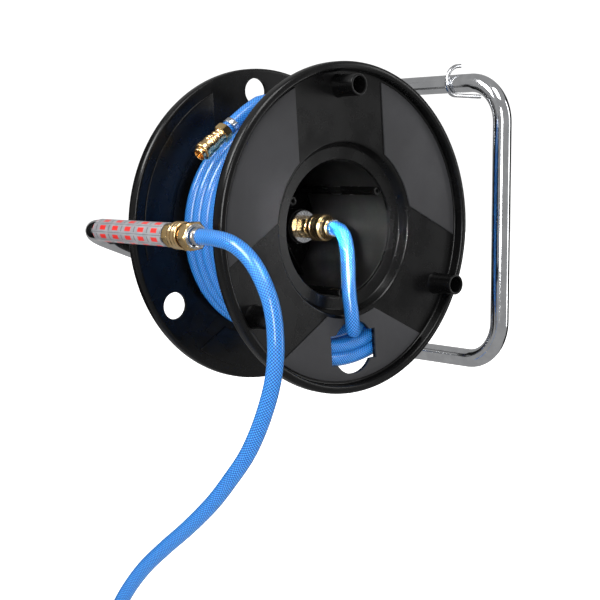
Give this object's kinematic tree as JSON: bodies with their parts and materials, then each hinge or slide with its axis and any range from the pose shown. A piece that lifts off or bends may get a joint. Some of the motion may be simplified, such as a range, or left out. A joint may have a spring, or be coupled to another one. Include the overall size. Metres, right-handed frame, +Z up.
{
  "type": "wall-hung air hose reel",
  "caption": "Wall-hung air hose reel: plastic drum on a bent chrome tube that carries the air, with a brass swivel, quick couplings and a supply hose.",
  "frame": {"origin": "where the shank of the wall hook crosses the wall, on the wall plane y = 0, under the frame's top arm", "axes": "+X out of the drum's front flange, along the axle; +Y into the wall; +Z up"},
  "size_m": [0.4599, 0.5677, 0.5922],
  "materials": {
    "black_plastic": "satin moulded black, glossier on the arms of each flange",
    "chrome_tube": "bright chrome plate",
    "zinc_steel": "bright zinc plate",
    "brass": "turned bright brass",
    "blue_hose": "translucent blue with a braid inside",
    "label_sleeve": "printed silver film",
    "seal_rubber": "matt",
    "white_acetal": "matt",
    "tie_strap": "matt"
  },
  "bodies": {
    "frame": {"wall_hook": "zinc_steel", "frame_tube": "chrome_tube", "label_sleeve": "label_sleeve", "axle_collar": "zinc_steel", "thrust_washer": "zinc_steel", "swivel_stator": "brass", "swivel_seal_1": "seal_rubber", "swivel_seal_2": "seal_rubber", "inlet_plug": "brass", "supply_coupling_body": "brass", "supply_sleeve_spring": "zinc_steel", "supply_ball_1": "zinc_steel", "supply_ball_2": "zinc_steel", "supply_ball_3": "zinc_steel", "supply_valve": "brass", "supply_valve_spring": "zinc_steel", "supply_hose_clamp": "zinc_steel", "supply_hose": "blue_hose", "supply_hose_coil": "blue_hose", "supply_hose_tail": "blue_hose", "supply_plug": "brass", "supply_plug_clamp": "zinc_steel", "coil_tie": "tie_strap"},
    "drum": {"front_flange": "black_plastic", "rear_flange": "black_plastic", "rear_screw_1": "zinc_steel", "rear_screw_2": "zinc_steel", "rear_screw_3": "zinc_steel", "hub_bush_rear": "white_acetal", "hub_bush_front": "white_acetal", "swivel_rotor": "brass", "hub_hose": "blue_hose", "hub_hose_clamp": "zinc_steel", "hose_winding": "blue_hose", "hose_outer_run": "blue_hose", "outlet_coupling_body": "brass", "outlet_sleeve_spring": "zinc_steel", "outlet_ball_1": "zinc_steel", "outlet_ball_2": "zinc_steel", "outlet_ball_3": "zinc_steel", "outlet_valve_spring": "zinc_steel", "outlet_hose_clamp": "zinc_steel"},
    "supply_sleeve": {"supply_sleeve": "brass"},
    "outlet_sleeve": {"outlet_sleeve": "brass"},
    "outlet_valve": {"outlet_valve": "brass"}
  },
  "joints": [
    {"name": "drum_spin", "type": "hinge", "parent": "frame", "child": "drum", "pos_m": [0, -0.2073, -0.1247], "axis": [1, 0, 0], "continuous": true},
    {"name": "supply_sleeve_slide", "type": "slide", "parent": "frame", "child": "supply_sleeve", "axis": [1, 0, 0], "range_m": [0, 0.004], "stiffness_N_per_m": 800, "springref_m": -0.004, "deforming": ["supply_sleeve_spring"]},
    {"name": "outlet_sleeve_slide", "type": "slide", "parent": "drum", "child": "outlet_sleeve", "axis": [0, 0.8025, 0.5967], "range_m": [0, 0.004], "stiffness_N_per_m": 800, "springref_m": -0.004, "deforming": ["outlet_sleeve_spring"]},
    {"name": "outlet_valve_slide", "type": "slide", "parent": "drum", "child": "outlet_valve", "axis": [0, 0.8025, 0.5967], "range_m": [0, 0.004], "stiffness_N_per_m": 300, "springref_m": -0.004, "deforming": ["outlet_valve_spring"]}
  ]
}
